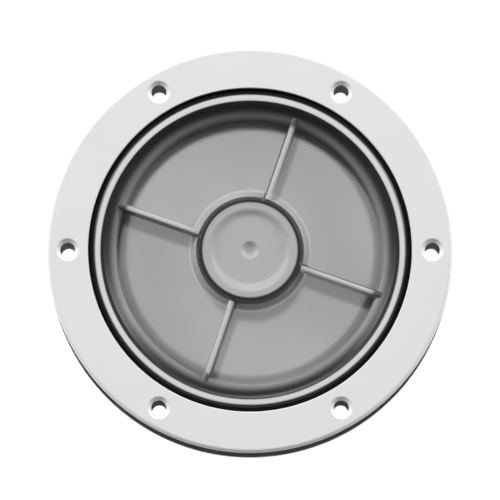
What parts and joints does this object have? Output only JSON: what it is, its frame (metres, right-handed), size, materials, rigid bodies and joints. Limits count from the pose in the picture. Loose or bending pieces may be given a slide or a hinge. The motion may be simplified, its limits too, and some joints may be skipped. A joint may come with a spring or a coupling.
{
  "type": "deck inspection plate",
  "caption": "Round screw-in deck inspection plate: flat white ring with countersunk holes and a threaded collar, rubber O-ring, and a translucent dished lid with finger ribs.",
  "frame": {"origin": "centre of the opening in the plane of the flange's underside, where the ring seats on the deck", "axes": "+Z out of the deck along the screw axis; +X through one of the screw holes"},
  "size_m": [0.146, 0.146, 0.0215],
  "materials": {
    "ring_plastic": "white moulded plastic, smooth with a soft gloss",
    "lid_plastic": "translucent grey moulded plastic, glossy",
    "seal_rubber": "black rubber, matt with a faint sheen"
  },
  "bodies": {
    "ring": {"mounting_ring": "ring_plastic"},
    "seal": {"o_ring": "seal_rubber"},
    "lid": {"lid": "lid_plastic"}
  },
  "joints": [
    {"name": "lid_rise", "type": "slide", "parent": "ring", "child": "seal", "axis": [0, 0, 1], "range_m": [0, 0.02]},
    {"name": "lid_turn", "type": "hinge", "parent": "seal", "child": "lid", "pos_m": [0, 0, 0], "axis": [0, 0, 1], "range_deg": [0, 900]}
  ],
  "couplings": [
    {"joint": "lid_rise", "follows": "lid_turn", "m_per_rad": 0.0012732}
  ]
}
